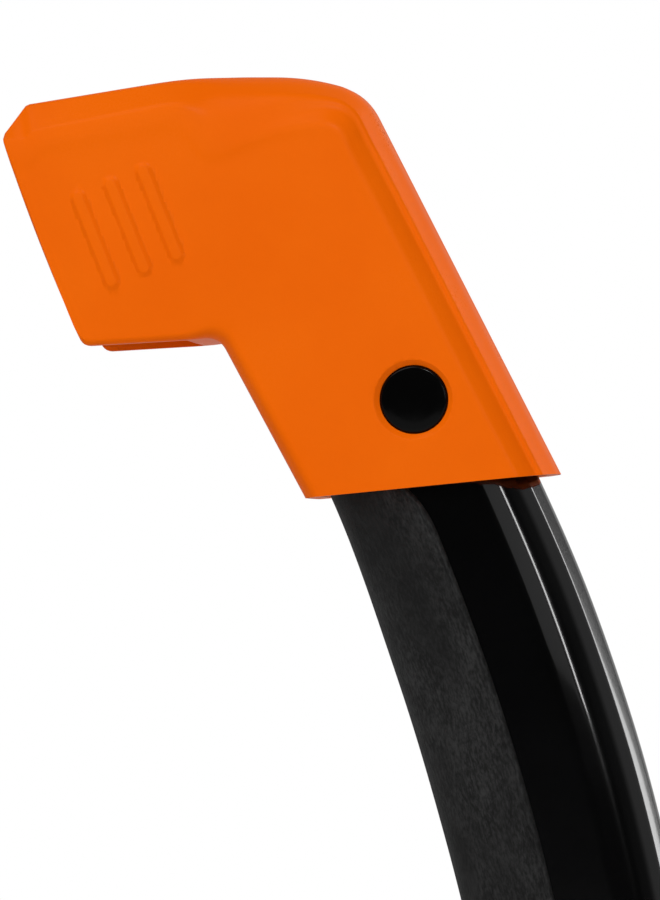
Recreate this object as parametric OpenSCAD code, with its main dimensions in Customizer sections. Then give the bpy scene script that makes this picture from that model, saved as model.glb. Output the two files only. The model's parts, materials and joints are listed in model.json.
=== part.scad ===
/* [Shaft] */
// Depth of the tube, from its front to its back
shaft_depth = 32.5; // [28:0.5:34]
// Width of the tube, from side to side
shaft_width = 20; // [19:0.5:22]
// Radius of the tube's long corners
shaft_corner = 6.5; // [5:0.5:8]
// Thickness of the tube's wall
shaft_wall = 1.6; // [1.2:0.1:2]
// Length of the straight stretch that the finger rest slides on
straight_length = 110; // [90:5:140]

/* [Grip] */
// Radius of the curved grip, at the middle of the tube
grip_radius = 360; // [320:10:400]
// Angle at which the tube ends inside the pommel
grip_angle = 31; // [30:0.5:32]
// Thickness of the rubber inlay
inlay_thickness = 1; // [0.6:0.1:1.4]
// How far forward of the middle the inlay's edge lies
inlay_edge = 2; // [0:0.5:5]

/* [Pommel] */
// Width of the pommel, from side to side
pommel_width = 27; // [26:0.5:30]
// Thickness of the pommel's wall under its arm
pommel_wall = 2.6; // [2:0.1:3]
// Angle of the button along the grip
button_angle = 25.9; // [25:0.1:27]
// How far the button lies behind the middle of the tube
button_offset = 3.5; // [2:0.1:5]
// Diameter of the button
button_diameter = 10.7; // [9:0.1:12]

/* [Head] */
// Tilt of the head against the straight stretch
head_tilt = 20; // [15:1:25]
// Radius of the bend above the head, at the middle of the tube
head_radius = 260; // [220:10:300]
// Straight length of tube that holds the head's tang
tang_length = 44; // [40:1:50]
// Thickness of the head
head_width = 18; // [17:0.5:20]
// Diameter of the clip hole
clip_diameter = 15; // [13:0.5:16]
// Thickness of the pick's blade
pick_thickness = 4; // [3:0.5:4.5]
// Reach of the pick, from the clip hole to its tip
pick_reach = 165; // [150:1:180]

/* [Finger rest] */
// Height of the finger rest along the tube
rest_height = 30; // [26:1:34]
// Gap between the finger rest and the tube
rest_gap = 0.4; // [0.35:0.05:0.5]

/* [Hidden] */
$fn = 64;
running_gap = 0.08;

// A place rounded to a thousandth of a millimetre
function to_micron(place) = [for (number = place) round(number * 1000) / 1000];

// Places along the tube: the origin is the clip hole, +Z runs to the pommel and -X to the pick
shaft_end = 12;
tang_top = shaft_end + tang_length;
bend_start = tang_top * [sin(head_tilt), cos(head_tilt)];
bend_centre = to_micron(bend_start - head_radius * [cos(head_tilt), -sin(head_tilt)]);
shaft_x = bend_centre[0] + head_radius;
straight_top = bend_centre[1] + straight_length;
straight_swell = 0.1;
tang_swell = 0.15;
overlap = 1;
grip_centre = [shaft_x - grip_radius, straight_top];
button_at = grip_centre
    + (grip_radius + button_offset) * [cos(button_angle), sin(button_angle)];

// The pommel's outline from the button's axis: each row is x, z and the radius of that corner
arm_outline = [
    [-68.4, 42.2, 3], [-63.6, 47.6, 6], [-47.8, 50.0, 60], [-28, 51.7, 60],
    [-10.2, 50.4, 7], [10.9, 9, 0], [-32, 9, 0], [-54.6, 8.3, 1.5], [-61.2, 22, 60]
];
collar_outline = [
    [-40, 46, 3], [-28, 51.7, 30], [-10.2, 50.4, 7], [23.9, -16.2, 0],
    [-16.2, -19.8, 0], [-32, 9, 2]
];
// The hollow under the arm
hollow_outline = [[-52.0, 5], [-37.2, 5], [-44.6, 24], [-41.5, 42], [-62.3, 42.5], [-58.1, 22]];
// Width and inset of each layer that rounds the pommel off
arm_layers = [[1, 4.8], [0.93, 3.4], [0.66, 0.8], [0.52, 0]];
collar_layers = [[1, 5], [0.9, 2.4], [0.7, 0.7], [0.5, 0]];
rim_slope = 5.9;
rim_middle = [1.8, -13.7];
// The button's spring: its far face, and the leaf's thickness and length
spring_far = shaft_width / 2 - shaft_wall - 0.2;
leaf = 0.8;
leaf_length = 17;

// Head
head_shoulder = 11.6;
slot_floor = -12;
head_foot = -37;
bolt_places = [[-11, -24.5], [11, -24.5]];
bolt_diameter = 8;
bolt_head = [13.6, 3];
rivet_places = [24, 44];
rivet_diameter = 5;
weight_span = [30, 56];
weight_thickness = 5;
weight_screws_at = [35.5, 50.5];
tooth_count = 17;
tooth_depth = 2.6;

// Finger rest
rest_wall = 3;
rest_top = straight_top - 4;
lever_pin_at = [shaft_x + shaft_depth / 2 + 8.5, rest_top - 9];
lever_width = 10;
shoe_thickness = 2;
shoe_gap = 0.35;

// Points of the arc that rounds the corner at b, between a and c
function corner(a, b, c, radius, steps = 6) =
    radius == 0 ? [b] :
    let (
        back = (a - b) / norm(a - b),
        ahead = (c - b) / norm(c - b),
        half = acos(back * ahead) / 2,
        centre = b + (back + ahead) / norm(back + ahead) * radius / sin(half),
        first = b + back * radius / tan(half) - centre,
        last = b + ahead * radius / tan(half) - centre,
        start = atan2(first[1], first[0]),
        turn = atan2(last[1], last[0]) - start,
        sweep = turn > 180 ? turn - 360 : turn < -180 ? turn + 360 : turn
    )
    [for (i = [0 : steps]) centre + radius * [cos(start + sweep * i / steps), sin(start + sweep * i / steps)]];

function flat(row) = [row[0], row[1]];

// An outline whose rows hold x, y and a corner radius, with its corners rounded
function rounded_outline(rows) =
    let (n = len(rows))
    [for (i = [0 : n - 1]) each corner(
        flat(rows[(i + n - 1) % n]), flat(rows[i]), flat(rows[(i + 1) % n]), rows[i][2]
    )];

// The tube's section, grown by some amount: depth along X and width along Y
module section(grow = 0) {
    depth = shaft_depth + 2 * grow;
    width = shaft_width + 2 * grow;
    radius = shaft_corner + grow;
    square([depth - 2 * radius, width], center = true);
    square([depth, width - 2 * radius], center = true);
    for (x = [-1, 1], y = [-1, 1])
        translate([x * (depth / 2 - radius), y * (width / 2 - radius)]) circle(radius);
}

// Carries a section along the grip's curve, from one angle to another
module along_grip(from, to) {
    translate([grip_centre[0], 0, grip_centre[1]]) rotate([90, 0, 0]) rotate([0, 0, from])
        rotate_extrude(angle = to - from, $fn = 180) translate([grip_radius, 0]) children();
}

// Carries a section along the bend above the head
module along_bend(from, to) {
    translate([bend_centre[0], 0, bend_centre[1]]) rotate([90, 0, 0]) rotate([0, 0, from])
        rotate_extrude(angle = to - from, $fn = 180) translate([head_radius, 0]) children();
}

// The head's own frame: x to the hammer, z along the tang
module at_head() {
    rotate([0, head_tilt, 0]) children();
}

// A plate in the XZ plane, centred on Y = 0
module plate(thickness) {
    rotate([90, 0, 0]) linear_extrude(thickness, center = true) children();
}

// A cylinder along Y from one Y to another, at a place in the XZ plane
module across(at, from, to, diameter, far_diameter = 0) {
    translate([at[0], from, at[1]]) rotate([-90, 0, 0])
        cylinder(h = to - from, d1 = diameter, d2 = far_diameter == 0 ? diameter : far_diameter);
}

// The whole tube's path, filled: the grip's curve, the straight stretch, the bend and the stretch
// over the tang. The straight ones are swelled a little and reach past the ends of the curves.
module tube(grow) {
    along_grip(0, grip_angle) section(grow);
    translate([shaft_x, 0, straight_top - straight_length - overlap])
        linear_extrude(straight_length + 2 * overlap) section(grow + straight_swell);
    along_bend(-head_tilt, 0) section(grow);
    at_head() translate([0, 0, shaft_end])
        linear_extrude(tang_length + overlap) section(grow + tang_swell);
}

// ---- Pommel ----

module pommel_block(rows, layers) {
    outline = rounded_outline(rows);
    hull() for (layer = layers)
        plate(pommel_width * layer[0]) offset(delta = -layer[1]) polygon(outline);
}

module pommel() color("darkorange") {
    face = -pommel_width / 2;
    difference() {
        translate([button_at[0], 0, button_at[1]]) difference() {
            union() {
                pommel_block(arm_outline, arm_layers);
                pommel_block(collar_outline, collar_layers);
            }
            plate(pommel_width - 2 * pommel_wall) polygon(hollow_outline);
            translate([rim_middle[0], 0, rim_middle[1]]) rotate([0, -rim_slope, 0])
                translate([-50, -50, -40]) cube([100, 100, 40]);
        }
        along_grip(15, grip_angle + 0.6) section(0.2);
        along_grip(15, 25.4) difference() {
            section(inlay_thickness + 0.2);
            translate([-inlay_edge + 1, -50]) square([100, 100]);
        }
        across(button_at, face - 1, 0, button_diameter + 2 * running_gap);
        across(button_at, face - 0.01, face + 0.8, button_diameter + 2.2, button_diameter + 0.2);
    }
}

module lock_button() color("black") {
    face = -pommel_width / 2;
    inner = -shaft_width / 2 + shaft_wall;
    dome = 60;
    intersection() {
        across(button_at, face + 0.1, inner + 0.5, button_diameter);
        translate([button_at[0], face + 0.1 + dome, button_at[1]]) sphere(dome, $fn = 128);
    }
    across(button_at, inner + 0.75, inner + 1.7, button_diameter + 2.6);
}

// The spring's own frame, at the tube's middle beside the button: x to the tube's end, -z to its back
module at_spring() {
    middle = button_at - button_offset * [cos(button_angle), sin(button_angle)];
    translate([middle[0], 0, middle[1]]) rotate([0, -90 - button_angle, 0]) children();
}

// A folded leaf: one end presses the button out, the other bears on the tube's far wall
module button_spring() color("silver") {
    near = -shaft_width / 2 + shaft_wall + 2;
    fold = (spring_far - near) / 2;
    at_spring() {
        for (y = [near, spring_far - leaf]) translate([-8, y, -8]) cube([leaf_length, leaf, 9]);
        translate([leaf_length - 8, (near + spring_far) / 2, -8]) intersection() {
            difference() {
                cylinder(h = 9, r = fold);
                translate([0, 0, -1]) cylinder(h = 11, r = fold - leaf);
            }
            translate([0, -20, -1]) cube([20, 40, 20]);
        }
    }
}

module spring_rivet() color("silver") {
    at_spring() translate([-3, spring_far - leaf - 1.4, -3.5]) rotate([-90, 0, 0])
        cylinder(h = 1.4, d = 5);
}

// ---- Shaft ----

module shaft() color("black") difference() {
    tube(0);
    tube(-shaft_wall);
    across(button_at, -shaft_width, 0, button_diameter + 2 * running_gap);
    at_head() for (z = rivet_places)
        across([0, z], -shaft_width, shaft_width, rivet_diameter);
}

module shaft_plug() color("dimgray") {
    along_grip(grip_angle - 2, grip_angle + 0.4) section(-shaft_wall - 0.1);
    along_grip(grip_angle + 0.02, grip_angle + 0.5) section(-0.8);
}

module grip_inlay() color("dimgray") {
    along_grip(2, 24.4) difference() {
        section(inlay_thickness);
        section(0);
        translate([-inlay_edge, -50]) square([100, 100]);
    }
}

module upper_grip() color("dimgray") {
    along_bend(-17, -3) difference() {
        section(1.2);
        section(0);
    }
}

// ---- Finger rest ----

module rest_body() color("dimgray") {
    low = rest_top - rest_height;
    front = shaft_x - shaft_depth / 2 - rest_gap - 1 - rest_wall;
    difference() {
        union() {
            translate([shaft_x, 0, low]) linear_extrude(rest_height)
                section(rest_gap + 1 + rest_wall);
            plate(12) polygon(rounded_outline([
                [front + 3, low + 1, 0], [front + 3, rest_top - 1, 0], [front - 6, rest_top - 8, 12],
                [front - 20, rest_top - 6, 5], [front - 23, rest_top - 14, 4], [front - 8, low + 9, 16]
            ]));
            for (y = [-1, 1]) translate([0, y * (lever_width / 2 + 0.3 + 2), 0]) plate(4) polygon([
                [shaft_x + 14, rest_top - 19], [shaft_x + 14, rest_top - 1],
                [lever_pin_at[0] + 4, rest_top - 4], [lever_pin_at[0] + 4, rest_top - 14]
            ]);
        }
        translate([shaft_x, 0, low - 1]) linear_extrude(rest_height + 2) section(rest_gap + 1);
        translate([shaft_x + 10, -lever_width / 2 - 0.3, rest_top - 20])
            cube([30, lever_width + 0.6, 22]);
        across(lever_pin_at, -20, 20, 4.1);
    }
}

module rest_liner() color("gray") {
    translate([shaft_x, 0, rest_top - rest_height + 1]) difference() {
        linear_extrude(rest_height - 2) section(rest_gap + 0.9);
        translate([0, 0, -1]) linear_extrude(rest_height) section(rest_gap);
        translate([5, -lever_width / 2 - 0.5, 8]) cube([30, lever_width + 1, 30]);
    }
}

module clamp_shoe() color("silver") {
    back = shaft_x + shaft_depth / 2 + rest_gap;
    translate([back, -lever_width / 2 + 0.2, rest_top - 18])
        cube([shoe_thickness, lever_width - 0.4, 17]);
}

// The cam lies off its pin's axis, so that opening the lever frees the shoe
module cam_lever() color("black") {
    pin = lever_pin_at;
    shoe_back = shaft_x + shaft_depth / 2 + rest_gap + shoe_thickness;
    cam = 5;
    lift = pin[0] - shoe_back - shoe_gap - cam;
    difference() {
        union() {
            across(pin - [lift, 0], -lever_width / 2, lever_width / 2, 2 * cam);
            plate(lever_width) polygon(rounded_outline([
                [pin[0] + cam - 5.5, pin[1] + 3.5, 0], [pin[0] + cam - 0.5, pin[1] + 3.5, 3],
                [pin[0] + cam, pin[1] - 20, 8], [pin[0] + cam + 3, pin[1] - 33, 1.5],
                [pin[0] + cam, pin[1] - 34, 1.5], [pin[0] + cam - 4, pin[1] - 19, 8]
            ]));
        }
        across(pin, -20, 20, 4 + 2 * running_gap);
    }
}

module lever_pin() color("silver") {
    reach = lever_width / 2 + 4.3;
    across(lever_pin_at, -reach - 1, reach + 1.6, 4);
    across(lever_pin_at, -reach - 2.2, -reach - 0.05, 6.5);
}

module pin_clip() color("gray") {
    reach = lever_width / 2 + 4.3;
    difference() {
        across(lever_pin_at, reach + 0.3, reach + 1, 8);
        across(lever_pin_at, reach - 1, reach + 2, 4.02);
        translate([lever_pin_at[0], reach - 1, lever_pin_at[1] - 1.4]) cube([8, 4, 2.8]);
    }
}

// ---- Head ----

head_outline = [
    [-16.5, head_shoulder, 0], [-20.5, -4, 8], [-24.5, -16, 6], [-24.5, head_foot, 4],
    [23.5, head_foot, 4], [23.5, -16, 6], [19, -4, 8], [16.5, head_shoulder, 0]
];

module bolt_holes(gap) {
    for (at = bolt_places) across(at, -20, 20, bolt_diameter + 2 * gap);
}

module head_body() color("gray") at_head() difference() {
    union() {
        plate(head_width) polygon(rounded_outline(head_outline));
        translate([0, 0, shaft_end - 1]) linear_extrude(tang_length - 2) section(-shaft_wall - 0.1);
    }
    across([0, 0], -20, 20, clip_diameter);
    translate([-60, -pick_thickness / 2 - 0.05, head_foot - 10])
        cube([120, pick_thickness + 0.1, slot_floor - head_foot + 10]);
    bolt_holes(0.1);
    for (at = bolt_places) across(at, -head_width, -head_width / 2 + 1.2, 16.2);
    for (z = rivet_places) across([0, z], -20, 20, rivet_diameter);
}

module head_gasket() color("black") at_head() {
    translate([0, 0, head_shoulder + 0.05]) difference() {
        linear_extrude(2.4) section(1.4);
        translate([0, 0, -1]) linear_extrude(5) section(tang_swell + 0.05);
    }
}

module head_rivets() color("silver") at_head() for (z = rivet_places) {
    side_face = shaft_width / 2 + tang_swell;
    across([0, z], -side_face, side_face, rivet_diameter);
    for (side = [-1, 1]) intersection() {
        across([0, z], side > 0 ? side_face : -side_face - 1, side > 0 ? side_face + 1 : -side_face, 8);
        translate([0, side * (side_face - 8), z]) sphere(9);
    }
}

// The pick's middle line and half height, by its reach past the head
function pick_share(x) = (x - 24) / (pick_reach - 24);
function pick_middle(x) = -24 - 4 * pick_share(x) + 32 * pow(pick_share(x), 2);
function pick_half(x) = 10.6 - 3.2 * pick_share(x) - 2.6 * pow(pick_share(x), 3);
tooth_from = 62;
tooth_pitch = (pick_reach - 9 - tooth_from) / tooth_count;

module pick() color("silver") at_head() difference() {
    plate(pick_thickness) polygon(concat(
        [[-0.4, slot_floor - 0.1], [-24, slot_floor - 0.6]],
        [for (x = [30 : 6 : tooth_from - 1]) [-x, pick_middle(x) + pick_half(x)]],
        [for (i = [0 : tooth_count - 1]) let (x = tooth_from + i * tooth_pitch) each [
            [-x, pick_middle(x) + pick_half(x)],
            [-x - tooth_pitch * 0.72, pick_middle(x + 4) + pick_half(x + 4) + 0.5],
            [-x - tooth_pitch * 0.98, pick_middle(x + 5) + pick_half(x + 5) - tooth_depth]
        ]],
        [[-pick_reach, pick_middle(pick_reach) + 5.5]],
        [for (x = [pick_reach - 5 : -7 : 28]) [-x, pick_middle(x) - pick_half(x)]],
        [[-24, -34.8], [-20, -35.8], [-0.4, -35.8]]
    ));
    bolt_holes(0.1);
    for (x = weight_screws_at) across([-x, pick_middle(x)], -20, 20, 4.2);
    across([-72, pick_middle(72) - 0.5], -20, 20, 7);
}

module hammer() color("dimgray") at_head() difference() {
    union() {
        translate([0.2, -pick_thickness / 2, -35.8]) cube([24, pick_thickness, 23.6]);
        plate(13) polygon(rounded_outline([
            [24, -14.5, 0], [24, -35, 0], [36, -33.5, 20], [48, -36, 0], [48, -13.5, 0], [36, -16, 20]
        ]));
        translate([46, 0, -24.8]) rotate([0, 90, 0]) cylinder(h = 10, d1 = 22, d2 = 25);
        translate([56, 0, -24.8]) rotate([0, 90, 0]) cylinder(h = 4, d = 25);
    }
    bolt_holes(0.1);
}

module head_bolts() color("silver") at_head() for (at = bolt_places) difference() {
    face = -head_width / 2;
    union() {
        across(at, face, head_width / 2 + 0.8, bolt_diameter);
        across(at, face + 0.2 - bolt_head[1], face + 0.2, bolt_head[0]);
    }
    translate([at[0], face - bolt_head[1] - 1, at[1]]) rotate([-90, 0, 0])
        cylinder(h = 3.4, d = 6.9, $fn = 6);
}

module bolt_washers() color("gainsboro") at_head() for (at = bolt_places) difference() {
    face = -head_width / 2;
    across(at, face + 0.2, face + 1.2, 16);
    across(at, face - 1, face + 3, bolt_diameter + 0.2);
}

module head_nuts() color("silver") at_head() for (at = bolt_places) difference() {
    face = head_width / 2;
    union() {
        translate([at[0], face + 1, at[1]]) rotate([-90, 0, 0]) cylinder(h = 4.6, d = 14.8, $fn = 6);
        across(at, face, face + 1.2, 16);
    }
    across(at, face - 1, face + 4, bolt_diameter + 0.02);
}

module pick_weights() color("dimgray") at_head() difference() {
    for (side = [-1, 1])
        translate([0, side * (pick_thickness + weight_thickness) / 2, 0]) plate(weight_thickness)
            polygon(rounded_outline([
                [-weight_span[0], -16, 5], [-weight_span[0], -31, 5], [-weight_span[1], -31, 6],
                [-weight_span[1], -16, 6]
            ]));
    for (x = weight_screws_at) {
        across([-x, pick_middle(x)], -20, 20, 4.2);
        across([-x, pick_middle(x)], -20, -pick_thickness / 2 - weight_thickness + 2.2, 7.6);
        across([-x, pick_middle(x)], pick_thickness / 2 + weight_thickness - 2.6, 20, 7.8);
    }
}

module weight_screws() color("gainsboro") at_head() for (x = weight_screws_at) difference() {
    face = -pick_thickness / 2 - weight_thickness;
    union() {
        across([-x, pick_middle(x)], face + 1, -face - 1, 4);
        across([-x, pick_middle(x)], face + 0.4, face + 2.2, 7);
    }
    translate([-x, face, pick_middle(x)]) rotate([-90, 0, 0]) cylinder(h = 1.6, d = 3, $fn = 6);
}

module weight_nuts() color("gainsboro") at_head() for (x = weight_screws_at) difference() {
    face = pick_thickness / 2 + weight_thickness;
    translate([-x, face - 2.6, pick_middle(x)]) rotate([-90, 0, 0]) cylinder(h = 2.2, d = 7.6, $fn = 6);
    across([-x, pick_middle(x)], 0, 20, 4.02);
}

pommel();
lock_button();
button_spring();
spring_rivet();
shaft();
shaft_plug();
grip_inlay();
upper_grip();
rest_body();
rest_liner();
clamp_shoe();
cam_lever();
lever_pin();
pin_clip();
head_body();
head_gasket();
head_rivets();
pick();
hammer();
head_bolts();
head_nuts();
bolt_washers();
pick_weights();
weight_screws();
weight_nuts();
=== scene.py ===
import json
import math

import bmesh
import bpy
import numpy as np
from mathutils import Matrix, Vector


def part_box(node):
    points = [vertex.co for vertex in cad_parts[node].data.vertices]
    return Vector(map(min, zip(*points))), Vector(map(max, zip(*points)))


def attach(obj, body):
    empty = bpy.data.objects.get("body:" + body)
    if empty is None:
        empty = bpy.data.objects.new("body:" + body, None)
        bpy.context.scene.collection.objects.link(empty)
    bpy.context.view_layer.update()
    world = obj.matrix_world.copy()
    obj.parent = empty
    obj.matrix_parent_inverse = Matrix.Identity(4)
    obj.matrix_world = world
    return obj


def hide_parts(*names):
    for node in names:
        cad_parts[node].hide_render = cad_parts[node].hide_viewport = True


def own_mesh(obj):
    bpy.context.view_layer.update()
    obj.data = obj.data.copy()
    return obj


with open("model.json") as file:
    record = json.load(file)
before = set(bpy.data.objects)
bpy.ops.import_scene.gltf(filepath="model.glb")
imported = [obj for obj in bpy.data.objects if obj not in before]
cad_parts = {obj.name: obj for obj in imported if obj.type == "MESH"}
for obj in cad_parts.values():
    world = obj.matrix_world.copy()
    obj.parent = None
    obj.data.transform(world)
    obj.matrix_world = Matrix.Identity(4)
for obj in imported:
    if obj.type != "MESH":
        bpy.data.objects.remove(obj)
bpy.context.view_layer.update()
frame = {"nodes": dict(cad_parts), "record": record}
mm = 0.001


# a socket that takes +, * and 1 - in expressions, each adding one Math node
class Wire:

    def __init__(self, board, socket):
        self.board = board
        self.socket = socket

    def maths(self, operation, *values):
        return self.board.add("ShaderNodeMath", {"operation": operation}, dict(enumerate(values)))

    def __add__(self, other):
        return self.maths("ADD", self, other)

    def __mul__(self, other):
        return self.maths("MULTIPLY", self, other)

    def __rsub__(self, other):
        return self.maths("SUBTRACT", other, self)

    __radd__ = __add__
    __rmul__ = __mul__

    def unsigned(self):
        return self.maths("ABSOLUTE", self)

    def step(self, low, high):  # 0 below low, 1 above high, smooth between
        settings = {"interpolation_type": "SMOOTHSTEP"}
        return self.board.add("ShaderNodeMapRange", settings, {0: self, 1: low, 2: high})


shaderInputs = {
    "colour": "Base Color",
    "metallic": "Metallic",
    "roughness": "Roughness",
    "ior": "IOR",
    "specular": "Specular IOR Level",
    "coat": "Coat Weight",
    "coatRoughness": "Coat Roughness",
    "normal": "Normal",
}


# the nodes of one material or world; add() makes a node, with its settings first and then the values
# or the wires of its sockets
class Board:

    def __init__(self, owner):
        owner.use_nodes = True
        self.owner = owner
        self.tree = owner.node_tree

    def join(self, socket, value):
        if isinstance(value, Wire):
            self.tree.links.new(value.socket, socket)
        else:
            socket.default_value = value

    def add(self, kind, settings=None, sockets=None, output=0):
        node = self.tree.nodes.new(kind)
        for key, value in (settings or {}).items():
            setattr(node, key, value)
        for key, value in (sockets or {}).items():
            self.join(node.inputs[key], value)
        return Wire(self, node.outputs[output])

    def objectPlace(self, scale=(1, 1, 1), turn=(0, 0, 0)):
        place = self.add("ShaderNodeTexCoord", output="Object")
        return self.add("ShaderNodeMapping", {}, {0: place, 2: turn, 3: scale})

    def surfacePlace(self, scale):  # the piece's own UV map: along and around, in metres
        place = self.add("ShaderNodeTexCoord", output="UV")
        return self.add("ShaderNodeMapping", {}, {0: place, 3: scale})

    def noise(self, place, scale, detail=2.0, roughness=0.5):
        sockets = {"Vector": place, "Scale": scale, "Detail": detail, "Roughness": roughness}
        return self.add("ShaderNodeTexNoise", {}, sockets)

    def mix(self, share, first, second):  # two colours
        sockets = {0: share, 6: (*first, 1), 7: (*second, 1)}
        return self.add("ShaderNodeMix", {"data_type": "RGBA"}, sockets, 2)

    def bump(self, height, distance, strength=1.0):
        sockets = {"Height": height, "Distance": distance, "Strength": strength}
        return self.add("ShaderNodeBump", {}, sockets)

    def finish(self, **values):
        shader = self.tree.nodes["Principled BSDF"]
        for name, value in values.items():
            if name == "colour" and not isinstance(value, Wire):
                value = (*value, 1)
            self.join(shader.inputs[shaderInputs[name]], value)
        return self.owner


def materialBoard(name):
    return Board(bpy.data.materials.new(name))


# a colour from 0 to 255 on the usual screen scale, as linear light
def linear(red, green, blue):
    parts = [value / 255 for value in (red, green, blue)]
    return tuple(v / 12.92 if v <= 0.04045 else ((v + 0.055) / 1.055) ** 2.4 for v in parts)


# the pommel: a flat bright orange with a fine moulded grain
def orangePlastic():
    board = materialBoard("orangePlastic")
    place = board.objectPlace()
    cloud = board.noise(place, 45, 3)
    grain = board.noise(place, 2600, 2)
    return board.finish(
        colour=board.mix(cloud.step(0.3, 0.7), linear(243, 105, 5), linear(240, 101, 3)),
        roughness=0.22 + 0.08 * cloud + 0.05 * grain,
        specular=0.06,
        ior=1.3,
        normal=board.bump(grain, 0.00004, 0.3),
    )


# the button: smooth black
def glossPlastic():
    board = materialBoard("glossPlastic")
    cloud = board.noise(board.objectPlace(), 900, 3)
    return board.finish(
        colour=linear(4, 4, 4),
        roughness=0.12 + 0.08 * cloud,
        specular=0.14,
        normal=board.bump(cloud, 0.00003, 0.25),
    )


# the tube: black paint under clear lacquer, with a trace of orange peel and dust
def blackCoat():
    board = materialBoard("blackCoat")
    place = board.objectPlace()
    peel = board.noise(place, 420, 2)
    dust = board.noise(place, 60, 4)
    return board.finish(
        colour=board.mix(dust, linear(1, 1, 1), linear(4, 4, 5)),
        roughness=0.12 + 0.06 * dust,
        specular=0.25,
        coat=0.7,
        coatRoughness=0.05,
        normal=board.bump(peel, 0.00005, 0.12),
    )


# the inlay and the sleeve: short fibres and blotches that run along the grip, darkened by broad random
# patches of painted shade
def gripRubber():
    board = materialBoard("gripRubber")
    fibre = board.noise(board.surfacePlace((800, 2600, 1)), 1, 6, 0.75)
    blotch = board.noise(board.surfacePlace((130, 300, 1)), 1, 5, 0.7)
    # broad random patches of painted shade, which darken the fibres and blotches by up to 65 percent
    cloud = board.noise(board.surfacePlace((24, 90, 1)), 1, 3).step(0.35, 0.62)
    mottleAndShade = (fibre * 0.68 + blotch * 0.32).step(0.41, 0.62) * (0.35 + 0.65 * cloud)
    return board.finish(
        colour=board.mix(mottleAndShade, linear(3, 3, 3), linear(47, 47, 47)),
        roughness=0.6 + 0.25 * fibre,
        specular=0.3,
        normal=board.bump(fibre * 0.7 + blotch * 0.3, 0.0004, 0.8),
    )


# the finger rest: dark grey with a spark-eroded grain
def darkPlastic():
    board = materialBoard("darkPlastic")
    grain = board.noise(board.objectPlace(), 1800, 3)
    return board.finish(
        colour=board.mix(grain, linear(26, 26, 27), linear(38, 38, 39)),
        roughness=0.5 + 0.15 * grain,
        normal=board.bump(grain, 0.00006, 0.5),
    )


# the head: grey forged metal, brighter and more metallic where it is worn
def forgedHead():
    board = materialBoard("forgedHead")
    place = board.objectPlace()
    grain = board.noise(place, 1200, 4)
    wear = board.noise(place, 90, 5, 0.6).step(0.6, 0.75)
    return board.finish(
        colour=board.mix(wear, linear(62, 64, 68), linear(98, 100, 104)),
        metallic=0.55 + 0.3 * wear,
        roughness=0.42 + 0.15 * grain,
        normal=board.bump(grain, 0.00006, 0.5),
    )


# steel with fine lines across the local Z axis, which turn (in radians) leans over
def brushed(name, dark, light, turn, roughness):
    board = materialBoard(name)
    line = board.noise(board.objectPlace((60, 60, 2400), turn), 1, 4, 0.6)
    stain = board.noise(board.objectPlace(), 55, 4)
    return board.finish(
        colour=board.mix(line * 0.6 + stain * 0.4, linear(*dark), linear(*light)),
        metallic=1.0,
        roughness=roughness + 0.2 * line,
        normal=board.bump(line, 0.00004, 0.35),
    )


slots = {
    "orange_plastic": orangePlastic(),
    "gloss_plastic": glossPlastic(),
    "black_aluminium": blackCoat(),
    "grip_rubber": gripRubber(),
    "dark_plastic": darkPlastic(),
    "forged_head": forgedHead(),
}
# slot: name, darkest and lightest colour, how the lines turn, least roughness
steels = {
    "spring_steel": ("springSteel", (120, 122, 126), (178, 180, 184), (0, 0, 0), 0.22),
    "blade_steel": ("bladeSteel", (128, 131, 136), (182, 185, 190), (0.2, 0.7, 0), 0.25),
    "hammer_steel": ("hammerSteel", (62, 63, 66), (104, 105, 108), (0, 1.3, 0), 0.32),
    "fastener_steel": ("fastenerSteel", (138, 140, 144), (190, 192, 196), (1.2, 0, 0), 0.24),
}
slots.update({slot: brushed(*steel) for slot, steel in steels.items()})
nodeSlot = {row["node"]: row["material_slot"] for row in frame["record"]["subparts"]}
for nodeName, cadObject in frame["nodes"].items():
    cadObject.data.materials.clear()
    cadObject.data.materials.append(slots[nodeSlot[nodeName]])
print("materials made")


# ways to make surfaces: everything is worked out in millimetres and put into meshes in metres

# rounds the corners of outlines, rows x corners x 2: each corner becomes a quadratic curve that starts
# and ends its own length away from the corner, never more than half way to the next one
def roundCorners(corners, lengths, steps=7, closed=True):
    before = np.roll(corners, 1, axis=1) - corners
    after = np.roll(corners, -1, axis=1) - corners
    beforeSize = np.linalg.norm(before, axis=-1, keepdims=True) + 1e-9
    afterSize = np.linalg.norm(after, axis=-1, keepdims=True) + 1e-9
    reach = np.minimum(lengths[..., None], 0.49 * np.minimum(beforeSize, afterSize))
    start = corners + before / beforeSize * reach
    end = corners + after / afterSize * reach
    if not closed:
        start[:, 0] = end[:, 0] = corners[:, 0]
        start[:, -1] = end[:, -1] = corners[:, -1]
    start, corner, end = start[:, :, None], corners[:, :, None], end[:, :, None]
    t = np.linspace(0, 1, steps)[None, None, :, None]
    curve = (1 - t) ** 2 * start + 2 * t * (1 - t) * corner + t**2 * end
    return curve.reshape(corners.shape[0], -1, corners.shape[-1])


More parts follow.
